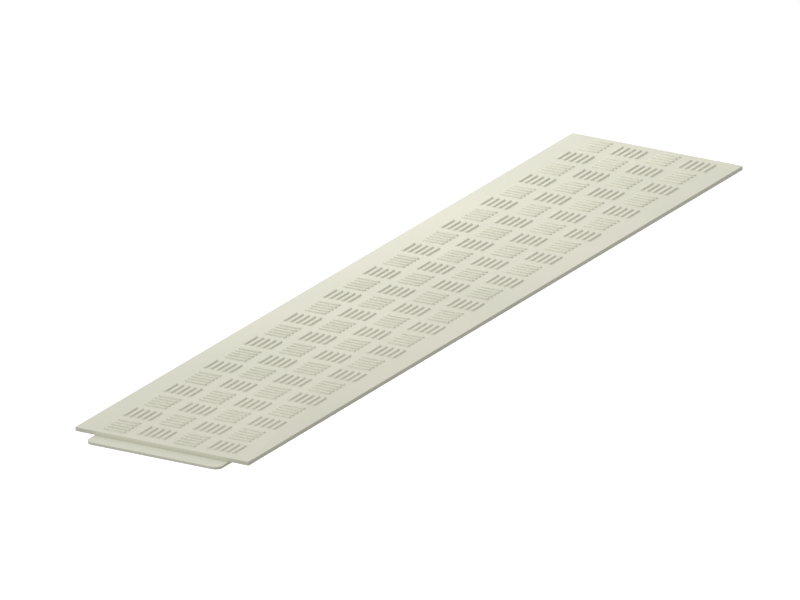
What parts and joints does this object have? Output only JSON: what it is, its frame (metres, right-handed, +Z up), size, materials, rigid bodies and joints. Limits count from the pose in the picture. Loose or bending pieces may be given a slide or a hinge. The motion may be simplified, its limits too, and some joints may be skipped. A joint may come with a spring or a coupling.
{
  "type": "diving board",
  "caption": "Long flat diving board: moulded non-slip tread deck on a spring blade with ribs, an anchor plate for bolts, a fulcrum cushion and a tip bar.",
  "frame": {"origin": "centre of the board's box, at the level of its lowest faces: the undersides of the anchor plate, the fulcrum wear plate and the tip bar", "axes": "+Y along the board from the butt end, where it is bolted down, to the tip; +X across the board, to the right seen from the butt; +Z up, out of the tread"},
  "size_m": [0.48, 2.448, 0.063],
  "materials": {
    "tread_moulding": "pale greenish-ivory glass-fibre moulding with a fine satin grain",
    "blade_laminate": "pale ivory laminate, satin",
    "rib_coating": "pale ivory powder coat on folded aluminium",
    "plug_plastic": "dark grey moulded nylon",
    "bare_aluminium": "mill-finish aluminium plate",
    "stainless_fasteners": "plain stainless steel",
    "wear_steel": "stainless sheet brushed across the board",
    "cushion_rubber": "black rubber sheet"
  },
  "bodies": {
    "root": {"tread_deck": "tread_moulding", "spring_blade": "blade_laminate", "anchor_plate": "bare_aluminium", "anchor_inserts": "stainless_fasteners", "fulcrum_wear_plate": "wear_steel", "fulcrum_cushion": "cushion_rubber", "tip_cross_bar": "bare_aluminium", "rib_left_outer": "rib_coating", "deck_screws_left_outer": "stainless_fasteners", "butt_plug_left_outer": "plug_plastic", "tip_plug_left_outer": "plug_plastic", "rib_left_inner": "rib_coating", "deck_screws_left_inner": "stainless_fasteners", "butt_plug_left_inner": "plug_plastic", "tip_plug_left_inner": "plug_plastic", "rib_right_inner": "rib_coating", "deck_screws_right_inner": "stainless_fasteners", "butt_plug_right_inner": "plug_plastic", "tip_plug_right_inner": "plug_plastic", "rib_right_outer": "rib_coating", "deck_screws_right_outer": "stainless_fasteners", "butt_plug_right_outer": "plug_plastic", "tip_plug_right_outer": "plug_plastic", "anchor_screws": "stainless_fasteners", "anchor_nuts": "stainless_fasteners", "fulcrum_screws": "stainless_fasteners", "fulcrum_nuts": "stainless_fasteners", "tip_screws": "stainless_fasteners", "tip_nuts": "stainless_fasteners"}
  },
  "joints": []
}
